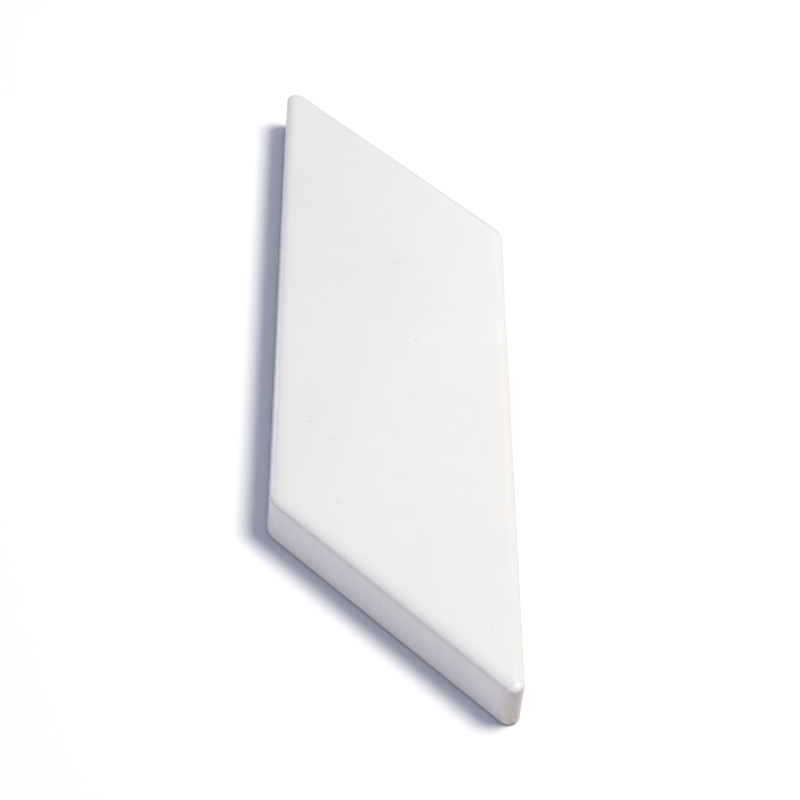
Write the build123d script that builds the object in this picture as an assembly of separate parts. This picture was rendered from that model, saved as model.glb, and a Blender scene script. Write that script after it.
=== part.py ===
from build123d import *
import math
import os

# Glazed ceramic raised pavement marker: one half of a chevron, laid flat on the road.
# All sizes in millimetres. Z is up; the stud faces rest on Z = 0 and the origin is the
# centre of that resting face. The long sides run along Y and the short sides are skewed.

# overall shape, measured over the glaze at the foot of the walls
width = 95.0               # across the long sides, along X
long_side = 265.0          # length of each long side, along Y, to the sharp corners
height = 20.0              # resting face to top face
skew_angle = 45.0          # acute angle between long and short sides, degrees
acute_radius = 4.4         # plan radius of the two pointed corners
obtuse_radius = 10.0       # plan radius of the two blunt corners
top_radius = 3.0           # rounded edge between the walls and the top face
wall_draft = 0.5           # the walls lean in by this much so the pressing leaves the die, degrees

# coats over the clay
glaze_thickness = 0.4      # opaque white glaze
engobe_thickness = 0.25    # white slip between clay and glaze
coats = glaze_thickness + engobe_thickness
glaze_foot = 0.3           # the glaze stops this far above the rim's underside
engobe_foot = 0.15         # the slip stops a little lower, so a thin line of it shows
foot_chamfer = 0.15        # bare clay edge at the foot

# underside: a shallow recess inside a narrow rim, full of studs that key into the road adhesive
rim_gap = 0.3              # only the studs touch the road: the rim stops this far above it
rim_width = 1.9            # bare clay outside the recess
stud_height = 1.3          # resting face to the floor of the recess
stud_diameter = 7.0        # where a stud meets the floor of the recess
stud_taper = 10.0          # degrees
stud_pitch = 13.5          # along X, and along Y
stud_columns = 7           # odd, so that one stud lies on the origin
stud_rows = 19             # odd, for the same reason

coat_cut = 20.0            # how far the trimming box reaches past the slab


def outline(inset):
    """Plan of the slab, drawn in from its outer edge by inset, as a filleted parallelogram."""
    lean = math.tan(math.radians(skew_angle))
    half_w = width / 2 - inset
    half_l = long_side / 2 - inset / math.sin(math.radians(skew_angle))
    skew = half_w / lean
    blunt = [(-half_w, skew - half_l), (half_w, half_l - skew)]
    sharp = [(-half_w, skew + half_l), (half_w, -half_l - skew)]
    plan = make_face(Polyline(blunt[0], sharp[1], blunt[1], sharp[0], close=True))
    for points, radius in ((blunt, obtuse_radius), (sharp, acute_radius)):
        corners = [v for v in plan.vertices() if min(math.dist((v.X, v.Y), p) for p in points) < 1e-3]
        plan = fillet(corners, radius - inset)
    return plan


def slab(inset):
    """The slab with every outer face moved in by inset, standing on the plane of the rim."""
    rise = height - rim_gap - inset
    block = extrude(Pos(0, 0, rim_gap) * outline(inset), rise, taper=wall_draft)
    top_edges = block.faces().sort_by(Axis.Z)[-1].edges()
    return fillet(top_edges, top_radius - inset)


def coat(inset, thickness, foot):
    """A skin of even thickness over the top and walls, open below, ending at foot."""
    skin = slab(inset) - slab(inset + thickness)
    keep = Box(width + coat_cut, long_side + width + coat_cut, height)
    return skin & Pos(0, 0, rim_gap + foot + height / 2) * keep


def studs():
    """Tapered round studs on a lattice that follows the skewed sides."""
    tip_radius = stud_diameter / 2 - stud_height * math.tan(math.radians(stud_taper))
    stud = Pos(0, 0, stud_height / 2) * Cone(tip_radius, stud_diameter / 2, stud_height)
    step = stud_pitch / math.tan(math.radians(skew_angle))
    placed = []
    for i in range(-(stud_columns // 2), stud_columns // 2 + 1):
        for j in range(-(stud_rows // 2), stud_rows // 2 + 1):
            placed.append(Pos(i * stud_pitch, j * stud_pitch - i * step, 0) * stud)
    return placed


glaze_coat = coat(0, glaze_thickness, glaze_foot)
engobe_coat = coat(glaze_thickness, engobe_thickness, engobe_foot)

clay = slab(coats)
foot_edges = clay.faces().sort_by(Axis.Z)[0].edges()
clay = chamfer(foot_edges, foot_chamfer)
recess = extrude(Pos(0, 0, rim_gap) * outline(coats + rim_width), stud_height - rim_gap)
ceramic_body = clay - recess + studs()

os.makedirs("parts", exist_ok=True)
for node, shape in (
    ("glaze_coat", glaze_coat),
    ("engobe_coat", engobe_coat),
    ("ceramic_body", ceramic_body),
):
    solids = shape.solids()
    box = shape.bounding_box()
    print(node, "solids", len(solids), "volume", round(shape.volume, 1), "box", box.min, box.max)
    export_step(solids[0], f"parts/{node}.step")
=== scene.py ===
# Glazed ceramic road marker, one half of a chevron, on a white studio floor.
import math

import bmesh
import bpy
import numpy as np
from mathutils import Matrix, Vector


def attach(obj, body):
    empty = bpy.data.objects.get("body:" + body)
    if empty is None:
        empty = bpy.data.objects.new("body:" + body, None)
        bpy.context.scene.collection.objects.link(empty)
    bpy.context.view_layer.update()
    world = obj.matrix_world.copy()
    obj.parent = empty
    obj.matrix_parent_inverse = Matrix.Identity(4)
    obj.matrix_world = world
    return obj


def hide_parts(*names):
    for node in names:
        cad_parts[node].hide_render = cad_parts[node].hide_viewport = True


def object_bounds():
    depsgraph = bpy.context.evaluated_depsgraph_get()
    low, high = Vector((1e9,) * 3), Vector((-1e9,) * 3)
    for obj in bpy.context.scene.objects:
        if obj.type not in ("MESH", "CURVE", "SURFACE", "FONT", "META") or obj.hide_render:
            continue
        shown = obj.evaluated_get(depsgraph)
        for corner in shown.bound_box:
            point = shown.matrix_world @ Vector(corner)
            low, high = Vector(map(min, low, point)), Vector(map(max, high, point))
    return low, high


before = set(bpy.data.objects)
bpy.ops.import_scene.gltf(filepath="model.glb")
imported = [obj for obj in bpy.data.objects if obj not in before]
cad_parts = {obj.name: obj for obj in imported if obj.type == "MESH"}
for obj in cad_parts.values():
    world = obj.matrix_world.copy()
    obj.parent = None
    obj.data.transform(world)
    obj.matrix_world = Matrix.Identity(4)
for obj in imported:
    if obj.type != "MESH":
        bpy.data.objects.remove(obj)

mm = 0.001
cadLow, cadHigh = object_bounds()

# the plan that all three layers share, in millimetres: the same driving sizes as the CAD model, over the
# glaze at the foot of the walls
plan = {
    "width": 95.0,          # across the long sides
    "longSide": 265.0,      # to the sharp corners
    "skewDeg": 45.0,
    "acuteRadius": 4.4,
    "obtuseRadius": 10.0,
    "edgeRadius": 3.0,      # wall to top face
    "draftDeg": 0.5,
    "rimGap": 0.3,          # underside of the rim, above the road
    "recess": 1.3,          # floor of the recess, which the studs hang from
    "top": (cadHigh[2] - cadLow[2]) / mm,
}


# corner points and outward side normals of the sharp parallelogram, anticlockwise from the near left
# corner: corner = (+-halfWidth, +-(halfLong -+ skew)), and a side's normal is its direction turned right
def planCorners(inset=0.0):
    lean = math.radians(plan["skewDeg"])
    halfW = plan["width"] / 2 - inset
    halfL = plan["longSide"] / 2 - inset / math.sin(lean)
    skew = halfW / math.tan(lean)
    corners = np.array([[-halfW, skew - halfL], [halfW, -halfL - skew],
                        [halfW, halfL - skew], [-halfW, skew + halfL]])
    run = np.roll(corners, -1, 0) - corners
    run /= np.linalg.norm(run, axis=1)[:, None]
    return corners, np.stack([run[:, 1], -run[:, 0]], 1)


# points and outward normals round the filleted plan. Each side is half an arc, a straight and half an
# arc: arc point = centre + radius (cos a, sin a), straight point = start + t (end - start). The cells of
# a whole side are shared out between its straight and the steps of its two half arcs
def planEdge(acrossCells, alongCells, acuteSteps, obtuseSteps):
    corners, normals = planCorners()
    points, outward = [], []
    for k in range(4):
        n = normals[k]
        ends = []
        for c, other in ((k, normals[k - 1]), ((k + 1) % 4, normals[(k + 1) % 4])):
            blunt = c % 2 == 0
            radius = plan["obtuseRadius"] if blunt else plan["acuteRadius"]
            steps = obtuseSteps if blunt else acuteSteps
            centre = corners[c] - radius * (n + other) / (1 + n @ other)
            turn = math.acos(n @ other) / 2
            ends.append((centre, radius, steps, turn))
        base = math.atan2(n[1], n[0])
        (c0, r0, s0, t0), (c1, r1, s1, t1) = ends
        a0 = base - t0 * np.linspace(1, 0, s0 + 1)
        a1 = base + t1 * np.linspace(0, 1, s1 + 1)[:-1]
        cells = (acrossCells if k % 2 == 0 else alongCells) - s0 - s1
        t = np.linspace(0, 1, cells + 1)[1:-1, None]
        p0, p1 = c0 + r0 * n, c1 + r1 * n
        points += [c0 + r0 * np.stack([np.cos(a0), np.sin(a0)], 1), p0 + t * (p1 - p0),
                   c1 + r1 * np.stack([np.cos(a1), np.sin(a1)], 1)]
        outward += [np.stack([np.cos(a0), np.sin(a0)], 1), np.repeat(n[None], cells - 1, 0),
                    np.stack([np.cos(a1), np.sin(a1)], 1)]
    return np.vstack(points), np.vstack(outward)


# distance inside the nearest side of the sharp plan: the least of (corner - point) . normal
def insideBy(xy):
    corners, normals = planCorners()
    return np.min([(corners[k] - xy) @ normals[k] for k in range(4)], 0)


# sheared grid inside the plan, corners sharp:
# point = near left + u (near right - near left) + v (far left - near left)
def planGrid(inset, acrossCells, alongCells):
    corners = planCorners(inset)[0]
    u, v = np.meshgrid(np.linspace(0, 1, acrossCells + 1), np.linspace(0, 1, alongCells + 1), indexing="ij")
    return corners[0] + u[..., None] * (corners[1] - corners[0]) + v[..., None] * (corners[3] - corners[0])


# the grid's border in the same order as planEdge's points
def borderOf(grid):
    return np.concatenate([grid[:-1, 0], grid[-1, :-1], grid[:0:-1, -1], grid[0, :0:-1]])


# smooth unevenness from -1 to 1: the sum of many plane waves, sin(k.p + phase), in random directions,
# scaled to about that range and cut off at its ends
def waves(points, lengthMm, seed, count=14, stretch=(1, 1, 1)):
    rng = np.random.default_rng(seed)
    direction = rng.normal(size=(count, points.shape[1]))
    direction /= np.linalg.norm(direction, axis=1)[:, None]
    k = 2 * np.pi * direction / (lengthMm * rng.uniform(0.7, 1.4, (count, 1)))
    k *= np.array(stretch[:points.shape[1]])
    total = np.sin(points @ k.T + rng.uniform(0, 2 * np.pi, count)).sum(1)
    return np.clip(total / math.sqrt(count) / 1.6, -1, 1)


# unevenness of several sizes together: the sum of share x waves over pairs of wave length and share
def layeredWaves(points, parts, seed):
    return sum(share * waves(points, lengthMm, seed + k) for k, (lengthMm, share) in enumerate(parts))


# 1 up to start, falling evenly to 0 at end. Where end lies below start, it rises from end to start
def fade(x, start, end):
    return np.clip((end - x) / (end - start), 0, 1)


# inset of a wall from the plan at height z: (z - rimGap) tan(draft)
def draftAt(z):
    return (z - plan["rimGap"]) * math.tan(math.radians(plan["draftDeg"]))


# profile of a face that lies depth inside the outer one, as inset and height: the wall, then the edge arc
# with inset = centre - r cos a and height = springing + r sin a. Also gives the arc's angles
def wallAndEdge(depth, heights, anglesDeg):
    springing = plan["top"] - plan["edgeRadius"]
    radius = plan["edgeRadius"] - depth
    centre = draftAt(springing) + plan["edgeRadius"]
    a = np.radians(anglesDeg)
    inset = np.concatenate([depth + draftAt(heights), centre - radius * np.cos(a)])
    return np.stack([inset, np.concatenate([heights, springing + radius * np.sin(a)])], 1), a


# faces of a tube whose rings each hold n points, ring after ring
def tubeFaces(rings, n):
    s = np.arange(n)
    low = np.arange(rings - 1)[:, None] * n
    nxt = (s + 1) % n
    return np.stack([low + s, low + nxt, low + n + nxt, low + n + s], 2).reshape(-1, 4)


# faces of a grid of point numbers, one for each cell
def gridFaces(index):
    return np.stack([index[:-1, :-1], index[1:, :-1], index[1:, 1:], index[:-1, 1:]], 2).reshape(-1, 4)


# numbers the grid's points: the border shares the ring's numbers and the inside is new
def gridIndex(acrossCells, alongCells, ringStart, newStart):
    index = np.zeros((acrossCells + 1, alongCells + 1), int)
    ring = ringStart + np.arange(2 * (acrossCells + alongCells))
    a, b = acrossCells, alongCells
    index[:-1, 0] = ring[:a]
    index[-1, :-1] = ring[a:a + b]
    index[:0:-1, -1] = ring[a + b:2 * a + b]
    index[0, :0:-1] = ring[2 * a + b:]
    index[1:-1, 1:-1] = newStart + np.arange((a - 1) * (b - 1)).reshape(a - 1, b - 1)
    return index


# a smooth mesh from points in millimetres. Where it takes a CAD node's place, it rides on the one body
def makePiece(name, points, faces, attributes=(), node=None, material=None):
    mesh = bpy.data.meshes.new(name)
    mesh.from_pydata((points * mm).tolist(), [], faces.tolist())
    for label, values in attributes:
        layer = mesh.attributes.new(label, "FLOAT", "POINT")
        layer.data.foreach_set("value", values.astype(np.float32))
    mesh.polygons.foreach_set("use_smooth", np.ones(len(mesh.polygons), bool))
    mesh.update()
    piece = bpy.data.objects.new(name, mesh)
    bpy.context.scene.collection.objects.link(piece)
    if material:
        mesh.materials.append(material)
    if node:
        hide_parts(node)
        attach(piece, "root")
    return piece


# sRGB hex to linear
def toLinear(hexColour):
    c = np.array([int(hexColour[i:i + 2], 16) for i in (1, 3, 5)]) / 255
    return (*np.where(c <= 0.04045, c / 12.92, ((c + 0.055) / 1.055) ** 2.4).tolist(), 1.0)


# adds a node, sets its properties and fills its sockets, with a link where a socket is given. A socket
# goes by its name, or by i and its number on nodes that have several of the same name
def addNode(tree, kind, settings=None, **sockets):
    node = tree.nodes.new(kind)
    for key, value in (settings or {}).items():
        setattr(node, key, value)
    for key, value in sockets.items():
        socket = node.inputs[int(key[1:])] if key[1:].isdigit() else node.inputs[key.replace("_", " ")]
        if isinstance(value, bpy.types.NodeSocket):
            tree.links.new(value, socket)
        else:
            socket.default_value = value
    return node


# starts a material: a shader, object coordinates in millimetres, and what its look lists as patterns and
# bump. A pattern is noise: from the lower to the upper of its levels it gives from the first to the
# second amount
def newMaterial(name, look):
    material = bpy.data.materials.new(name)
    material.use_nodes = True
    tree = material.node_tree
    tree.nodes.clear()
    shader = addNode(tree, "ShaderNodeBsdfPrincipled")
    addNode(tree, "ShaderNodeOutputMaterial", Surface=shader.outputs[0])
    where = addNode(tree, "ShaderNodeTexCoord").outputs["Object"]
    inMm = addNode(tree, "ShaderNodeVectorMath", {"operation": "SCALE"}, i0=where, Scale=1 / mm).outputs[0]
    amount = {}
    for label, p in look.get("patterns", {}).items():
        place = inMm
        if "stretch" in p:
            place = addNode(tree, "ShaderNodeMapping", Vector=inMm, Scale=p["stretch"]).outputs[0]
        noise = addNode(tree, "ShaderNodeTexNoise", Vector=place, Scale=1 / p["sizeMm"], Detail=p["detail"],
                        Roughness=p["grain"])
        (low, high), (first, second) = p["levels"], p.get("amounts", (0.0, 1.0))
        amount[label] = addNode(tree, "ShaderNodeMapRange", {"interpolation_type": "SMOOTHSTEP"},
                                i0=noise.outputs[0], i1=low, i2=high, i3=first, i4=second).outputs[0]
    if "bump" in look:
        p = look["bump"]
        noise = addNode(tree, "ShaderNodeTexNoise", Vector=inMm, Scale=1 / p["sizeMm"], Detail=p["detail"],
                        Roughness=p["grain"])
        bump = addNode(tree, "ShaderNodeBump", Height=noise.outputs[0], Strength=1.0,
                       Distance=p["heightMm"] * mm)
        tree.links.new(bump.outputs[0], shader.inputs["Normal"])
    return material, tree, shader, amount


glazeLook = {
    "white": "#e3e2dd",       # zircon-opacified glaze
    "cloud": "#e1e0db",       # where the glaze lies a little thinner
    "thinGlazeAndShade": "#9d9aa2",   # drawn thin over edges and walls, it lets the grey of the slip through, and lilac-grey shade is painted there too
    "thinArrisAndShade": "#9e8b6b",   # thinnest on the pointed corners, where the clay tints it olive, with painted shade and warm reflection there too
    "paintedWarmEdge": "#aaa298",    # painted warm reflection and shade along the +X and +Y edges, which face the lamps
    # painted shade in the pinholes
    "pinholeShade": "#8f8b86",
    "worn": "#94704f",        # clay seen through worn glaze at the foot
    "arrisRoughness": 0.12,   # added to the gloss below on the pointed corners' arris
    "noseRoughness": 0.16,    # and on their noses, which are rubbed in handling
    "ior": 1.52,
    "patterns": {
        "cloud": {"sizeMm": 38.0, "detail": 3.0, "grain": 0.5, "levels": (0.35, 0.7)},
        # faint runs down the walls, five times as long as they are wide
        "run": {"sizeMm": 2.6, "detail": 3.0, "grain": 0.6, "levels": (0.3, 0.7), "amounts": (0.9, 1.1),
                "stretch": (1, 1, 0.2)},
        # worn specks, and how much clay shows between them and on them
        "speck": {"sizeMm": 1.6, "detail": 3.0, "grain": 0.6, "levels": (0.46, 0.62), "amounts": (0.16, 0.9)},
        # the gloss itself varies, so this one gives the roughness
        "gloss": {"sizeMm": 9.0, "detail": 2.0, "grain": 0.5, "levels": (0.3, 0.7), "amounts": (0.13, 0.21)},
    },
    # orange peel, which is 1 to 2 mm on a real glaze
    "bump": {"sizeMm": 1.6, "detail": 1.0, "grain": 0.5, "heightMm": 0.004},
}


# opaque white gloss glaze, sprayed on and fired: bright, slightly uneven white with an orange-peel sheen,
# greyer where it thins over the edge, with pinholes left by gas in the firing. Painted into its colour as
# well: lilac-grey shade on the walls, the seam and the pointed corners, a warm reflection and shade on the
# edges that face the lamps, and shade in the pinholes
def whiteGlaze():
    look = glazeLook
    material, tree, shader, amount = newMaterial("opaque white glaze", look)
    # the mesh says where the glaze is thin, pitted, worn or rubbed, and where shade and a warm reflection are
    # painted
    for label in ("thinGlazeAndShade", "thinArrisAndShade", "paintedWarmEdge", "pinholeShade", "worn", "rubbed"):
        amount[label] = addNode(tree, "ShaderNodeAttribute", {"attribute_name": label}).outputs["Fac"]
    # thin glaze, with the shade painted on it, comes and goes in runs, and worn glaze in specks
    for label, pattern in (("thinGlazeAndShade", "run"), ("thinArrisAndShade", "run"), ("worn", "speck")):
        amount[label] = addNode(tree, "ShaderNodeMath", {"operation": "MULTIPLY"}, i0=amount[label],
                                i1=amount[pattern]).outputs[0]
    colour = toLinear(look["white"])
    for label in ("cloud", "thinGlazeAndShade", "thinArrisAndShade", "paintedWarmEdge", "pinholeShade", "worn"):
        colour = addNode(tree, "ShaderNodeMix", {"data_type": "RGBA"}, i0=amount[label], i6=colour,
                         i7=toLinear(look[label])).outputs[2]
    rough = amount["gloss"]
    for label, added in (("thinArrisAndShade", look["arrisRoughness"]), ("rubbed", look["noseRoughness"])):
        rough = addNode(tree, "ShaderNodeMath", {"operation": "MULTIPLY_ADD"}, i0=amount[label], i1=added,
                        i2=rough).outputs[0]
    tree.links.new(colour, shader.inputs["Base Color"])
    tree.links.new(rough, shader.inputs["Roughness"])
    shader.inputs["IOR"].default_value = look["ior"]
    return material


slipLook = {
    "slip": "#dcd6ca",
    "stain": "#bfae98",
    "roughness": 0.78,
    "patterns": {"stain": {"sizeMm": 3.0, "detail": 4.0, "grain": 0.5, "levels": (0.4, 0.65)}},
    "bump": {"sizeMm": 0.4, "detail": 3.0, "grain": 0.5, "heightMm": 0.03},
}


# fired white slip, brushed or sprayed under the glaze: chalky, matt, a little stained by the clay
def whiteSlip():
    look = slipLook
    material, tree, shader, amount = newMaterial("fired white slip", look)
    colour = addNode(tree, "ShaderNodeMix", {"data_type": "RGBA"}, i0=amount["stain"],
                     i6=toLinear(look["slip"]), i7=toLinear(look["stain"])).outputs[2]
    tree.links.new(colour, shader.inputs["Base Color"])
    shader.inputs["Roughness"].default_value = look["roughness"]
    return material


clayLook = {
    "light": "#b4937a",
    "dark": "#93725c",
    "grog": "#d3c0aa",       # coarse pale grains
    "iron": "#4d372b",       # iron specks
    "kilnWash": "#d9d2c6",   # alumina the studs stood on in the kiln
    "washHeightsMm": (0.35, 0.05),  # none of it above, all of it below
    "roughness": 0.86,
    "patterns": {
        "dark": {"sizeMm": 22.0, "detail": 5.0, "grain": 0.6, "levels": (0.35, 0.65)},
        # real grains are 0.1 to 0.3 mm, drawn coarser so that they show
        "grog": {"sizeMm": 0.8, "detail": 4.0, "grain": 0.7, "levels": (0.62, 0.72)},
        "iron": {"sizeMm": 1.3, "detail": 2.0, "grain": 0.5, "levels": (0.70, 0.76)},
        "kilnWash": {"sizeMm": 2.4, "detail": 4.0, "grain": 0.7, "levels": (0.36, 0.58)},
    },
    "bump": {"sizeMm": 0.8, "detail": 4.0, "grain": 0.7, "heightMm": 0.08},
}


# dry-pressed vitreous stoneware, unglazed: matt buff brown, grainy, with iron specks and pale grog, and
# kiln wash rubbed on to the stud faces
def stoneware():
    look = clayLook
    material, tree, shader, amount = newMaterial("pressed stoneware", look)
    where = addNode(tree, "ShaderNodeTexCoord").outputs["Object"]
    height = addNode(tree, "ShaderNodeSeparateXYZ", Vector=where).outputs[2]
    above, below = look["washHeightsMm"]
    onFace = addNode(tree, "ShaderNodeMapRange", {"interpolation_type": "SMOOTHSTEP"}, i0=height,
                     i1=above * mm, i2=below * mm)
    amount["kilnWash"] = addNode(tree, "ShaderNodeMath", {"operation": "MULTIPLY"}, i0=onFace.outputs[0],
                                 i1=amount["kilnWash"]).outputs[0]
    colour = toLinear(look["light"])
    for label in ("dark", "grog", "iron", "kilnWash"):
        colour = addNode(tree, "ShaderNodeMix", {"data_type": "RGBA"}, i0=amount[label], i6=colour,
                         i7=toLinear(look[label])).outputs[2]
    tree.links.new(colour, shader.inputs["Base Color"])
    shader.inputs["Roughness"].default_value = look["roughness"]
    return material


glaze = {
    "thickness": 0.4,
    "foot": 0.6,                # the glaze stops here, above the bare foot
    "lipHeight": 0.2,           # middle of its rounded lip, above that
    "innerHeights": (0.25, 8.4),  # rings on the inner wall, above the foot
    "innerArcRings": 6,
    "outerFoot": 0.7,           # lowest ring of the outer wall, above the foot
    "outerHeights": (4, 16),    # and the rings that follow it, above the road
    "outerRings": 7,
    "acrossCells": 100,
    "alongCells": 280,
    "acuteSteps": 10,           # steps in half a pointed corner
    "obtuseSteps": 4,
    "gridInset": 5.0,           # the sheared grid of the top face starts this far in
    "blendRings": 3,
    # unevenness, as pairs of wave length and share
    "topWaveMm": 0.038,
    "topWaves": ((75.0, 0.6), (19.0, 0.4)),
    "wallRunMm": 0.035,         # the glaze runs down the walls in faint ribs
    "ribMm": 6.0,
    "ribStretch": (1, 1, 0.18),
    "footWander": 0.25,         # how far the glaze line wanders up from the foot
    "footWaves": ((7.0, 0.55), (2.6, 0.45)),
    "footFadeMm": (2.1, 4.5),   # heights at which its wandering starts to fade and ends
    # the top face starts to fall before it meets the rounded edge
    "sagMm": 0.2,
    "sagReachMm": 4.0,
    # the seam left between punch and die, on the rounded edge
    "edgeStartDeg": (0, 7),     # rings below the seam
    "edgeRings": 10,            # and above it
    "seamDeg": 23.0,            # it lies this far up the rounded edge
    "seamHalfDeg": 1.6,
    "seamSpread": 2.4,          # its rings reach this many half widths to each side
    "seamRings": 9,
    "seamDepthMm": 0.034,
    "seamShare": 0.65,          # share of the depth on the straights
    "bluntShare": 2.0,          # more of it on the blunt corners
    "bluntReachMm": 45.0,
    "seamFadeMm": (15.0, 6.0),  # from a pointed corner: all of it beyond, none of it within
    # rubbed noses of the pointed corners
    "noseRadius": 15.0,
    "noseLeanDeg": 26.0,
    "noseCut": 0.33,
    "noseSoft": 0.1,
    "noseReachMm": 5.5,
    "noseFullMm": 4.0,          # all of the cut within this, none beyond the reach
    "noseFlatMm": 2.5,          # none of the fall within this
    "rubFullMm": 1.426,         # wholly rubbed within this
    # pinholes
    "pinholes": 115,            # at most
    "pinholeTries": 900,
    "pinholeMargin": 5,         # cells kept clear along the grid's border
    "pinholeGap": 8,            # and between pinholes
    "pinholeNearer": 0.62,      # more of them on this share of the length, where the kiln gas was trapped
    "pinholeShares": (0.95, 0.3),  # kept there, and further on
    "pinholeRadiusMm": (0.22, 0.5),
    "pinholeBias": 2.2,         # most are small
    "pinholeOval": 0.2,
    "pinholeShiftMm": 0.4,
    "pinholeDepth": 0.2,        # of the radius
    "pinholeShadeLevels": (0.06, 0.42),
    # where the glaze is thin, rubbed or worn, and where shade and a warm reflection are painted
    # walls: thin glaze, and painted lilac-grey shade
    "wallThinAndShade": 0.33,
    "seamShade": 0.05,           # painted shade along the seam
    "thinWallFade": (0.1333, 0.8),  # radians up the rounded edge
    # pointed corners' arris: thin glaze, and painted shade and warm reflection
    "thinArrisAndShade": 0.55,
    "arrisReach": (0.4, 1.2),   # from a pointed corner, in shares of its rounding
    "arrisPower": 0.7,
    "arrisFade": (0.1875, 0.8125),  # radians up the rounded edge
    "arrisPatchy": 0.15,
    "arrisWaveMm": 3.0,
    # painted warm reflection and shade on the edges that face the lamps
    "paintedWarmEdge": 0.45,
    "litSide": (0.94, 0.34),    # heading of the side that faces the lamps
    "litSpread": 0.6,
    "farSpread": 0.5,
    "edgeStart": 0.15,          # radians up the rounded edge
    "edgeFade": (0.5, 0.9),
    "farWider": 0.55,           # radians further up on the +Y end
    "farLess": 0.2,             # and weaker there
    "worn": 0.7,
    "wornReachMm": (6.75, 14.25),
    "wornHeightMm": (3.0, 9.0),
    "wornTurn": (0.4, -0.2),    # only on the sides that face away from the ends
    "seed": 11,
}
# the lip at the glaze's foot: share of the thickness, and height from its middle
lipProfile = np.array([[0.95, 0.02], [0.75, -0.10], [0.45, -0.16], [0.2, -0.08], [0.05, 0.12]])
# pinholes are pressed ring by ring from the middle: share of the radius, share of the depth, painted
# shade, and how far the ring has turned from even spacing to the grid's own directions
pitRadius = np.array([0, 0.55, 1.0, 1.5])
pitDepth = np.array([1.0, 0.85, 0.1, 0.0])
pitShade = np.array([1.0, 0.8, 0.25, 0.0])
pitTurn = np.array([0, 0.3, 0.55, 0.8])


# profile from the middle of the inner face, down inside the wall, round the foot and up over the edge, as
# inset and height. Also gives the slope at each ring, and the number of the ring where the lip starts
def glazeProfile():
    g = glaze
    t = g["thickness"]
    innerHeights = g["foot"] + np.array(g["innerHeights"])
    innerWall = wallAndEdge(t, innerHeights, np.linspace(0, 90, g["innerArcRings"]))[0]
    lip = lipProfile * [t, 1] + [draftAt(g["foot"]), g["foot"] + g["lipHeight"]]
    spread = g["seamHalfDeg"] * g["seamSpread"]
    nearSeam = g["seamDeg"] + np.linspace(-spread, spread, g["seamRings"])
    aboveSeam = np.linspace(nearSeam[-1], 90, g["edgeRings"] + 1)[1:]
    heights = np.concatenate([[g["foot"] + g["outerFoot"]], np.linspace(*g["outerHeights"], g["outerRings"])])
    outerWall, outerArc = wallAndEdge(0, heights, np.concatenate([g["edgeStartDeg"], nearSeam, aboveSeam]))
    tilt = np.concatenate([np.zeros(len(innerWall) + len(lip) + len(heights)), outerArc])
    return np.vstack([innerWall[::-1], lip, outerWall]), tilt, len(innerWall)


# closed shell of two faces: rings of the plan at each point of the profile, (plan edge - inset x outward
# normal), then rings between the edge and the sheared grid, (1 - w) edge + w grid border, then the grid
def glazeSurface():
    g = glaze
    a, b, t = g["acrossCells"], g["alongCells"], g["thickness"]
    edge, outward = planEdge(a, b, g["acuteSteps"], g["obtuseSteps"])
    n = len(edge)
    profile, tilt, footRing = glazeProfile()
    rings = edge[None] - profile[:, 0][:, None, None] * outward[None]
    z = np.repeat(profile[:, 1][:, None], n, 1)
    grid = planGrid(g["gridInset"], a, b)
    border = borderOf(grid)
    w = (np.arange(1, g["blendRings"] + 2) / (g["blendRings"] + 1))[:, None, None]
    outerTop = (1 - w) * rings[-1][None] + w * border[None]
    innerTop = ((1 - w) * rings[0][None] + w * border[None])[::-1]
    flat = np.full((g["blendRings"] + 1, n), plan["top"])
    rings = np.concatenate([innerTop, rings, outerTop])
    z = np.concatenate([flat - t, z, flat])
    tilt = np.concatenate([np.zeros(len(innerTop)), tilt, np.full(len(outerTop), np.pi / 2)])
    ringPoints = np.concatenate([rings.reshape(-1, 2), z.reshape(-1, 1)], 1)
    inside = grid[1:-1, 1:-1].reshape(-1, 2)
    topStart = len(ringPoints) + len(inside)
    points = np.vstack([ringPoints, np.column_stack([inside, np.full(len(inside), plan["top"] - t)]),
                        np.column_stack([inside, np.full(len(inside), plan["top"])])])
    innerIndex = gridIndex(a, b, 0, len(ringPoints))
    topIndex = gridIndex(a, b, (len(rings) - 1) * n, topStart)
    faces = np.vstack([tubeFaces(len(rings), n), gridFaces(innerIndex)[:, ::-1], gridFaces(topIndex)])

    # for every point: whether it is on the outer face, the slope there from 0 on the wall to pi / 2 on
    # top, and for the rings the outward direction and the point of the plan's edge that they started from
    outer = np.zeros(len(points), bool)
    outer[:len(ringPoints)] = np.repeat(np.arange(len(rings)), n) >= footRing + len(innerTop)
    outer[topStart:] = True
    slope = np.zeros(len(points))
    slope[:len(ringPoints)] = np.repeat(tilt, n)
    slope[topStart:] = np.pi / 2
    across = np.zeros((len(points), 2))
    across[:len(ringPoints)] = np.tile(outward, (len(rings), 1))
    around = np.zeros((len(points), 2))
    around[:len(ringPoints)] = np.tile(edge, (len(rings), 1))
    return points, faces, grid, topIndex, outer, slope, across, around, len(ringPoints)


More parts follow.
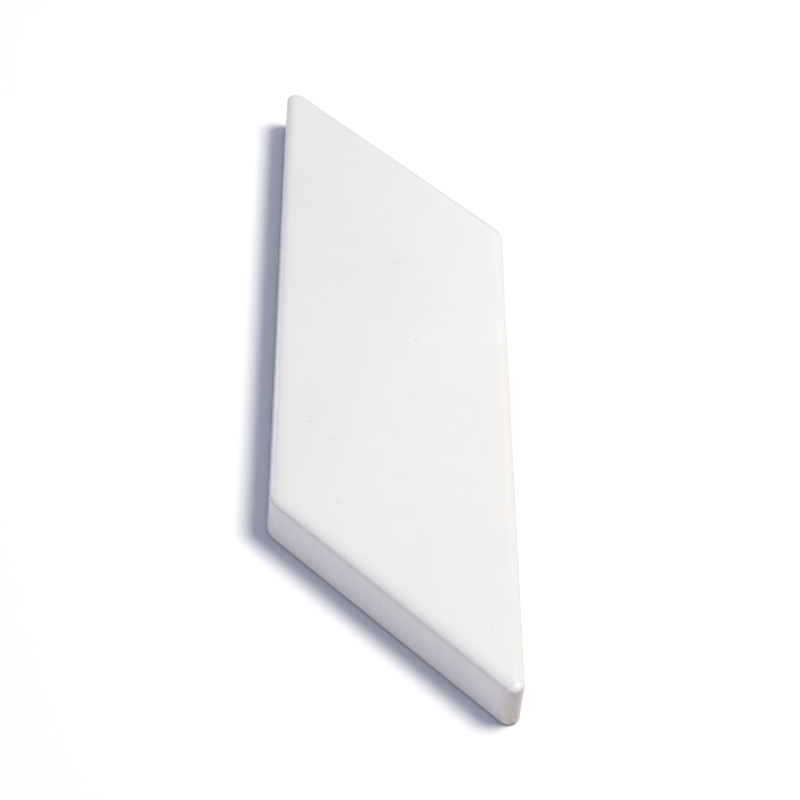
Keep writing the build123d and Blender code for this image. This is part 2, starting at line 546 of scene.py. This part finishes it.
# each pointed corner's top is rubbed to a rounder nose: a point that stands e outside a ball is drawn in
# by (e + sqrt(e^2 + soft^2)) / 2. The ball's crown lies noseCut below the sharp shape. Returns how rubbed
# a point is
def rubNoses(points, outer):
    g = glaze
    corners, normals = planCorners()
    lean = math.radians(g["noseLeanDeg"])
    rubbed = np.zeros(len(points))
    for c in (1, 3):
        both = normals[c - 1] + normals[c]
        away = both / np.linalg.norm(both)
        facing = np.append(away * math.sin(lean), math.cos(lean))
        arc = corners[c] - plan["acuteRadius"] * both / (1 + normals[c - 1] @ normals[c])
        springing = plan["top"] - plan["edgeRadius"]
        crown = np.append(arc + away * (plan["acuteRadius"] - plan["edgeRadius"]), springing)
        crown += facing * plan["edgeRadius"]
        ray = points - (crown - facing * (g["noseRadius"] + g["noseCut"]))
        length = np.linalg.norm(ray, axis=1)
        excess = length - g["noseRadius"]
        fromCrown = np.linalg.norm(points - crown, axis=1)
        rubbed += fade(fromCrown, g["rubFullMm"], g["noseReachMm"]) ** 2 * outer
        inward = 0.5 * (excess + np.sqrt(excess ** 2 + g["noseSoft"] ** 2))
        inward *= fade(fromCrown, g["noseFullMm"], g["noseReachMm"]) * outer
        points -= ray * (inward / length)[:, None]
    return rubbed


# presses the pinholes: square ring c of the grid points round a node becomes an oval of radius
# pitRadius[c] and sinks by pitDepth[c]. Returns the shade painted on each point, and how many pinholes there
# are
def pressPinholes(points, grid, topIndex):
    g = glaze
    a, b = g["acrossCells"], g["alongCells"]
    rng = np.random.default_rng(g["seed"] + 5)
    i = rng.integers(g["pinholeMargin"], a - g["pinholeMargin"], g["pinholeTries"])
    j = rng.integers(g["pinholeMargin"], b - g["pinholeMargin"], g["pinholeTries"])
    keep = rng.random(g["pinholeTries"]) < np.where(j < g["pinholeNearer"] * b, *g["pinholeShares"])
    i, j = i[keep], j[keep]
    # a pinhole is placed where it is clear of all the tries before it
    apart = np.maximum(abs(i[:, None] - i), abs(j[:, None] - j)) + (a + b) * np.tri(len(i)).T
    chosen = np.flatnonzero(apart.min(1) > g["pinholeGap"])[:g["pinholes"]]
    i, j = i[chosen], j[chosen]
    low, high = g["pinholeRadiusMm"]
    radius = low + (high - low) * rng.random(len(i)) ** g["pinholeBias"]
    size = len(pitRadius) - 1
    di, dj = np.meshgrid(np.arange(-size, size + 1), np.arange(-size, size + 1), indexing="ij")
    di, dj = di.ravel(), dj.ravel()
    c = np.maximum(abs(di), abs(dj))
    # place of a grid point among the 8 c points of its square ring, anticlockwise from the (+, +) corner
    place = np.select([(dj == c) & (di > -c), (di == -c) & (dj > -c), (dj == -c) & (di < c)],
                      [c - di, 3 * c - dj, 5 * c + di], 7 * c + dj)
    # even spacing near the middle turns into the grid's own directions further out, so that no face folds
    even = 2 * np.pi * place / np.maximum(8 * c, 1)
    cellAcross, cellAlong = grid[1, 0] - grid[0, 0], grid[0, 1] - grid[0, 0]
    own = np.arctan2(di * cellAcross[1] + dj * cellAlong[1], di * cellAcross[0] + dj * cellAlong[0])
    angle = even + pitTurn[c] * (np.mod(own - even + np.pi, 2 * np.pi) - np.pi)
    index = topIndex[i[:, None] + di, j[:, None] + dj]
    centre = points[topIndex[i, j]]
    centre[:, :2] += rng.uniform(-g["pinholeShiftMm"], g["pinholeShiftMm"], (len(i), 2))
    oval = 1 + g["pinholeOval"] * rng.random((len(i), 1))
    lie = rng.uniform(0, np.pi, (len(i), 1))
    x, y = pitRadius[c] * np.cos(angle - lie) * oval, pitRadius[c] * np.sin(angle - lie) / oval
    points[index, 0] = centre[:, None, 0] + radius[:, None] * (x * np.cos(lie) - y * np.sin(lie))
    points[index, 1] = centre[:, None, 1] + radius[:, None] * (x * np.sin(lie) + y * np.cos(lie))
    points[index, 2] = centre[:, None, 2] - g["pinholeDepth"] * radius[:, None] * pitDepth[c]
    # painted shade in each pit, darkest at its middle
    pinholeShade = np.zeros(len(points))
    pinholeShade[index] = pitShade[c] * rng.uniform(*g["pinholeShadeLevels"], (len(i), 1))
    return pinholeShade, len(i)


# where the glaze is thin over walls and edges, with painted shade there: a little more along the seam, most
# on the pointed corners' arris. A painted warm reflection and shade on the +X and +Y edges. Where it is worn:
# at the foot of the pointed corners
def thinPlaces(points, outer, slope, across, reach, line):
    g = glaze
    # painted shade: the walls and the foot of the rounded edge are greyed, more so higher up the wall, over
    # the thin glaze there
    wallShare = np.clip(points[:, 2] / (plan["top"] - plan["edgeRadius"]), 0, 1)
    thinAndShade = g["wallThinAndShade"] * (0.5 + 0.5 * wallShare) * fade(slope, *g["thinWallFade"]) * outer
    # painted shade in the seam groove
    thinAndShade += g["seamShade"] * line
    # on the pointed corners' arris the olive is thin glaze and also painted shade and warm reflection
    rounding = plan["acuteRadius"] / math.tan(math.radians(plan["skewDeg"] / 2))
    onArris = fade(reach / rounding, *g["arrisReach"]) ** g["arrisPower"]
    onArris *= fade(slope, *g["arrisFade"]) * outer
    patchy = 1 - g["arrisPatchy"] + g["arrisPatchy"] * waves(points, g["arrisWaveMm"], g["seed"] + 7)
    arrisAndShade = g["thinArrisAndShade"] * onArris * patchy
    # painted warm reflection and shade on the +X and +Y edges, which face the lamps
    farSide = fade(across[:, 1], g["farSpread"], 0)
    warmEdgeShade = g["paintedWarmEdge"] * (1 - g["farLess"] * farSide) * outer
    warmEdgeShade *= fade(across @ np.array(g["litSide"]), g["litSpread"], 0)
    warmEdgeShade *= fade(slope, g["edgeStart"], 0) * fade(slope - g["farWider"] * farSide, *g["edgeFade"])
    worn = g["worn"] * fade(reach, *g["wornReachMm"]) * fade(points[:, 2], *g["wornHeightMm"])
    worn *= fade(-across[:, 0] * np.sign(points[:, 1]), *g["wornTurn"])
    return [("thinGlazeAndShade", thinAndShade), ("thinArrisAndShade", arrisAndShade), ("paintedWarmEdge", warmEdgeShade), ("worn", worn)]


# the glaze: its surface, with every unevenness drawn inwards so that it stays within the CAD solid's outside
def glazeShell(material):
    g = glaze
    points, faces, grid, topIndex, outer, slope, across, around, ringEnd = glazeSurface()
    # on the walls, ribs that change slowly with height; on the top, long waves
    rib = waves(np.column_stack([around, points[:, 2]]), g["ribMm"], g["seed"], stretch=g["ribStretch"])
    push = np.where(outer, np.cos(slope), 0) * g["wallRunMm"] * (0.5 + 0.5 * rib)
    swell = layeredWaves(points[:, :2], g["topWaves"], g["seed"] + 1)
    drop = np.where(outer, np.sin(slope), 0) * g["topWaveMm"] * (0.5 - 0.5 * swell)
    # the fall towards the edge: depth (1 - d / reach)^3 at a distance d inside the rounded edge, carried
    # on over the edge at the same slope and faded out by the square of the sine of its angle
    within = insideBy(points[:, :2]) - plan["edgeRadius"]
    start = 3 * g["sagMm"] / g["sagReachMm"]
    fall = np.where(within >= 0, g["sagMm"] * np.clip(1 - within / g["sagReachMm"], 0, 1) ** 3,
                    g["sagMm"] + start * plan["edgeRadius"] * np.cos(slope))
    # the seam is a shallow groove: depth falls off as exp(-(angle / half width)^2) along the edge's
    # normal, and it closes towards the pointed corners and is deepest on the blunt ones
    corners = planCorners()[0]
    reach = np.min(np.linalg.norm(points[:, None, :2] - corners[None, [1, 3]], axis=2), 1)
    bluntReach = np.min(np.linalg.norm(points[:, None, :2] - corners[None, [0, 2]], axis=2), 1)
    line = np.exp(-((slope - math.radians(g["seamDeg"])) / math.radians(g["seamHalfDeg"])) ** 2) * outer
    deepen = g["seamShare"] + g["bluntShare"] * fade(bluntReach, 0, g["bluntReachMm"])
    groove = g["seamDepthMm"] * line * deepen * fade(reach, *g["seamFadeMm"])
    # the noses take the place of the fall on the pointed corners
    onNose = fade(reach, g["noseFlatMm"], g["noseReachMm"]) ** 2
    points[:, :2] -= across * (push + groove * np.cos(slope))[:, None]
    fall *= np.where(outer, np.sin(slope) ** 2, 0) * (1 - onNose)
    points[:, 2] -= drop + groove * np.sin(slope) + fall
    rubbed = rubNoses(points, outer)

    # the foot line wanders: points near the foot rise by a share that fades out up the wall
    wander = layeredWaves(around[:ringEnd], g["footWaves"], g["seed"] + 3)
    rise = g["footWander"] * np.clip(0.5 + 0.5 * wander, 0, 1) ** 2
    points[:ringEnd, 2] += rise * fade(points[:ringEnd, 2], *g["footFadeMm"])
    pinholeShade, count = pressPinholes(points, grid, topIndex)
    masks = thinPlaces(points, outer, slope, across, reach, line)
    masks += [("pinholeShade", pinholeShade), ("rubbed", rubbed)]
    print("stage 2: glaze points", len(points), "faces", len(faces), "pinholes", count)
    makePiece("glazeSkin", points, faces, masks, "glaze_coat", material)


glazeShell(whiteGlaze())


# the slip keeps the CAD node's own mesh, because only its lowest rim can be seen
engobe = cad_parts["engobe_coat"]
engobe.data.materials.clear()
engobe.data.materials.append(whiteSlip())
print("stage 3: slip has its finish")

clay = {
    "inset": 0.65,            # under the slip and the glaze
    "footChamfer": 0.15,
    "chamferMiddle": (0.0675, 0.07),  # its middle point, in and up
    "rimWidth": 1.9,
    "mouthDraft": 0.12,       # the recess narrows by this much towards its floor
    "mouthRound": 0.1,        # height of the rounding at its mouth
    "wallHeights": (0.12, 9.0),  # rings on the wall: above the chamfer, and above the road
    "edgeRings": 6,
    "acuteSteps": 6,          # steps in half a pointed corner
    "obtuseSteps": 3,
    "gridInset": 6.0,
    "pitch": 13.5,
    "columns": 7,
    "rows": 19,
    "slantSteps": 6,          # points along a cell's slanted side
    "straightSteps": 4,       # and along its straight side
    "outerColumn": 0.6,       # outside the outermost studs' middles, a cell is squeezed to this share
    "outerRow": 0.84,         # and to this one at the ends
    "waveMm": 0.06,
    "waveLengthMm": 11.0,
    "waveFadeMm": (1.4, 1.9),  # heights at which the waves start to fade and end
    "waveStartMm": 1.2,       # and below which they fade towards the road
    "mergeMm": 0.002,
    "seed": 31,
}
# stud profile, from the recess floor to the stud's face: radius, and height above the road
studProfile = np.array([[3.78, 1.3], [3.50, 1.14], [3.30, 0.22], [3.12, 0.0], [1.5, 0.02]])


# the clay: studs, each a cell of a sheared lattice filled with circles of the stud profile, centre +
# r (cos a, sin a), and round them a shell made as the glaze's is, from rings of the plan and a sheared grid
def clayBody(material):
    c = clay
    a, b = c["slantSteps"], c["straightSteps"]
    half = (c["columns"] // 2, c["rows"] // 2)
    # a cell's border in lattice units, anticlockwise from its (+, +) corner
    slant = np.linspace(0.5, -0.5, a + 1)[:-1]
    straight = np.linspace(0.5, -0.5, b + 1)[:-1]
    side = np.concatenate([
        np.column_stack([slant, np.full(a, 0.5)]), np.column_stack([np.full(b, -0.5), straight]),
        np.column_stack([-slant, np.full(a, -0.5)]), np.column_stack([np.full(b, 0.5), -straight])])
    i, j = np.meshgrid(np.arange(-half[0], half[0] + 1), np.arange(-half[1], half[1] + 1), indexing="ij")
    cell = np.column_stack([i.ravel(), j.ravel()])
    lattice = cell[:, None] + side[None]

    # lattice (a, b) to millimetres: x = pitch a, y = pitch (b - a), with the outermost cells squeezed in
    def toPlan(ab):
        out = []
        for axis, (limit, squeeze) in enumerate(zip(half, (c["outerColumn"], c["outerRow"]))):
            v = ab[..., axis]
            over = np.maximum(abs(v) - limit, 0)
            out.append(np.sign(v) * (abs(v) - over * (1 - squeeze)))
        x = c["pitch"] * out[0]
        return np.stack([x, c["pitch"] * out[1] - x], -1)

    border = toPlan(lattice)
    centre = toPlan(cell)
    n = len(side)
    angle = 2 * np.pi * np.arange(n) / n
    ring = np.stack([np.cos(angle), np.sin(angle)], 1)
    levels = len(studProfile)
    # O-shaped grid: the cell border, then circles of the stud profile, then its middle
    circles = centre[:, None, None] + studProfile[None, :, None, :1] * ring[None, None]
    xy = np.concatenate([border[:, None], circles, np.repeat(centre[:, None, None], n, 2)], 1)
    z = np.concatenate([[plan["recess"]], studProfile[:, 1], studProfile[-1:, 1]])
    cells = len(cell)
    points = np.concatenate([xy, np.broadcast_to(z[None, :, None, None], (cells, levels + 2, n, 1))], 3)
    one = tubeFaces(levels + 2, n)
    faces = (one[None] + (np.arange(cells) * (levels + 2) * n)[:, None, None]).reshape(-1, 4)
    studs = points.reshape(-1, 3)

    # the outside: field border, foot, chamfer, wall, edge, then the hidden top
    across, along = a * c["columns"], b * c["rows"]
    edge, outward = planEdge(across, along, c["acuteSteps"], c["obtuseSteps"])
    u = np.linspace(-half[0] - 0.5, half[0] + 0.5, across + 1)
    v = np.linspace(-half[1] - 0.5, half[1] + 0.5, along + 1)
    field = toPlan(np.stack(np.meshgrid(u, v, indexing="ij"), -1))
    low, cut, draft = plan["rimGap"], c["footChamfer"], c["mouthDraft"]
    mouth = c["inset"] + c["rimWidth"]
    first, second = c["wallHeights"]
    heights = np.array([low + cut, low + cut + first, second])
    wall = wallAndEdge(c["inset"], heights, np.linspace(0, 90, c["edgeRings"]))
    rim = [[mouth + draft, plan["recess"]], [mouth + draft * 2 / 3, plan["recess"] - draft],
           [mouth, low + c["mouthRound"]], [mouth - draft, low],
           [c["inset"] + cut, low], [c["inset"] + c["chamferMiddle"][0], low + c["chamferMiddle"][1]]]
    profile = np.vstack([rim, wall[0]])
    rings = edge[None] - profile[:, 0][:, None, None] * outward[None]
    rings = np.concatenate([borderOf(field)[None], rings])
    z = np.concatenate([[plan["recess"]], profile[:, 1]])
    m = len(edge)
    shell = np.column_stack([rings.reshape(-1, 2), np.repeat(z, m)])
    grid = planGrid(c["gridInset"], across, along)
    lastRing = np.column_stack([borderOf(grid), np.full(m, plan["top"] - c["inset"])])
    inside = grid[1:-1, 1:-1].reshape(-1, 2)
    middle = np.column_stack([inside, np.full(len(inside), plan["top"] - c["inset"])])
    shell = np.vstack([shell, lastRing, middle])
    ringCount = len(rings) + 1
    index = gridIndex(across, along, (ringCount - 1) * m, ringCount * m)
    shellFaces = np.vstack([tubeFaces(ringCount, m), gridFaces(index)])
    allPoints = np.vstack([studs, shell])
    allFaces = np.vstack([faces, shellFaces + len(studs)])

    # pressed clay isn't flat: the ground between studs and the bare foot roll gently, always inwards
    ground = fade(allPoints[:, 2], *c["waveFadeMm"]) * fade(allPoints[:, 2], c["waveStartMm"], 0)
    allPoints[:, 2] += ground * c["waveMm"] * (1 + waves(allPoints[:, :2], c["waveLengthMm"], c["seed"]))
    body = makePiece("stonewareBody", allPoints, allFaces, (), "ceramic_body", material)
    clean = bmesh.new()
    clean.from_mesh(body.data)
    bmesh.ops.remove_doubles(clean, verts=clean.verts, dist=c["mergeMm"] * mm)
    openEdges = sum(not e.is_manifold for e in clean.edges)
    clean.to_mesh(body.data)
    clean.free()
    print("stage 4: clay faces", len(body.data.polygons), "open edges", openEdges)


clayBody(stoneware())


studio = {
    "floorWhite": "#fbfbfb",
    "floorRoughness": 0.9,
    "floorSize": 40.0,
    "ambient": "#b3c3e4",
    "ambientStrength": 0.37,
    "exposure": 0.0,
}
# heading and height of each lamp in degrees seen from the marker, distance and width in metres
lamps = {
    "keySoftbox": {"heading": 7.0, "height": 63.0, "distance": 2.0, "width": 0.92,
                   "power": 40.0, "colour": "#fffaf4"},
    "frontFill": {"heading": 232.0, "height": 4.5, "distance": 2.4, "width": 0.6,
                  "power": 12.8, "colour": "#fde9f4"},
    "coolSide": {"heading": 184.0, "height": 16.0, "distance": 2.0, "width": 0.7,
                 "power": 3.8, "colour": "#dfeaff"},
    "warmSide": {"heading": -8.0, "height": 12.0, "distance": 1.6, "width": 0.8,
                 "power": 1.0, "colour": "#ffd9bf"},
    # low behind and to the left: a thin cool glint along the left edge
    "windowGlint": {"heading": 137.0, "height": 8.0, "distance": 2.0, "width": 0.6,
                    "power": 3.4, "colour": "#cfe2ff"},
    # behind and to the right: its soft-edged reflection brightens the right side of the glossy top
    "rearCard": {"heading": 68.0, "height": 43.0, "distance": 2.0, "width": 0.92,
                 "power": 3.4, "colour": "#fff6ee", "shape": "SQUARE"},
}
# the camera looks at a point in millimetres, along a heading from +Y and down by the height, in degrees
view = {
    "aim": (4.67, -2.36, -2.09),
    "heading": 4.957,
    "height": 42.969,
    "roll": 6.897,
    "distance": 1074.5,
    "lens": 118.08,
    "sensor": 36.0,
}


# matt white card, with next to no shine, so that the floor stays an even white
def whiteFloor():
    material, _, shader, _ = newMaterial("white floor", {})
    shader.inputs["Base Color"].default_value = toLinear(studio["floorWhite"])
    shader.inputs["Roughness"].default_value = studio["floorRoughness"]
    return material


half = studio["floorSize"] / 2 / mm
square = np.array([[-half, -half, 0], [half, -half, 0], [half, half, 0], [-half, half, 0]])
floor = makePiece("studioFloor", square, np.array([[0, 1, 2, 3]]), material=whiteFloor())

scene = bpy.context.scene
world = bpy.data.worlds.new("studio")
scene.world = world
world.use_nodes = True
background = world.node_tree.nodes["Background"]
background.inputs[0].default_value = toLinear(studio["ambient"])
background.inputs[1].default_value = studio["ambientStrength"]

for name, lamp in lamps.items():
    data = bpy.data.lights.new(name, "AREA")
    data.shape = lamp.get("shape", "DISK")
    data.size = lamp["width"]
    data.energy = lamp["power"]
    data.color = toLinear(lamp["colour"])[:3]
    light = bpy.data.objects.new(name, data)
    turn, rise = math.radians(lamp["heading"]), math.radians(lamp["height"])
    away = np.array([math.cos(turn) * math.cos(rise), math.sin(turn) * math.cos(rise), math.sin(rise)])
    light.location = away * lamp["distance"]
    light.rotation_euler = (math.pi / 2 - rise, 0, turn + math.pi / 2)
    scene.collection.objects.link(light)

# camera axes: forward from the heading and height, then right and up, turned about it by the roll
turn, rise = math.radians(view["heading"]), math.radians(view["height"])
forward = np.array([math.sin(turn) * math.cos(rise), math.cos(turn) * math.cos(rise), -math.sin(rise)])
level = np.cross(forward, [0, 0, 1])
level /= np.linalg.norm(level)
upright = np.cross(level, forward)
roll = math.radians(view["roll"])
right = math.cos(roll) * level + math.sin(roll) * upright
upward = np.cross(right, forward)
place = np.array(view["aim"]) * mm - forward * view["distance"] * mm
lens = bpy.data.cameras.new("camera")
lens.lens = view["lens"]
lens.sensor_width = view["sensor"]
lens.clip_start = 0.05
camera = bpy.data.objects.new("camera", lens)
scene.collection.objects.link(camera)
pose = np.eye(4)
pose[:3, 0], pose[:3, 1], pose[:3, 2], pose[:3, 3] = right, upward, -forward, place
camera.matrix_world = Matrix(pose.tolist())
scene.camera = camera
scene.view_settings.view_transform = "Standard"
scene.view_settings.exposure = studio["exposure"]
print("stage 5: studio ready")
